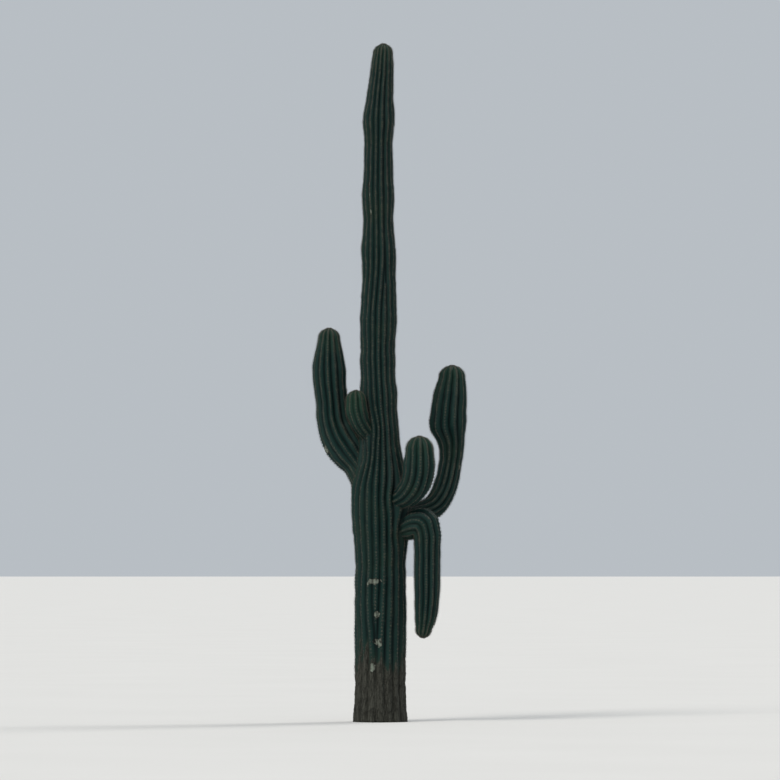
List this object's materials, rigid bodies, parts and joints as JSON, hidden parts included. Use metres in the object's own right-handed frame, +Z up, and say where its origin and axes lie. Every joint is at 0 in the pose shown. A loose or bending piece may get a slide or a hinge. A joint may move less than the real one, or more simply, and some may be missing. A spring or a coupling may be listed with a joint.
{
  "type": "saguaro cactus",
  "caption": "Tall ribbed columnar desert cactus with raised, forward and hanging arms and a young bud.",
  "frame": {"origin": "middle of the flat cut under the trunk, at ground level", "axes": "+Z up along the trunk, +X to the right and -Y towards the viewer in the picture"},
  "size_m": [1.5989, 1.2084, 7],
  "materials": {
    "skin": "satin",
    "young_skin": "satin",
    "spines": "matte",
    "felt": "matte"
  },
  "bodies": {
    "root": {"trunk": "skin", "left_arm_elbow": "skin", "left_arm_upright": "skin", "right_arm_elbow": "skin", "right_arm_upright": "skin", "front_arm_elbow": "skin", "front_arm_upright": "skin", "hanging_arm_shoulder": "skin", "hanging_arm_drop": "skin", "left_bud": "young_skin"}
  },
  "joints": []
}
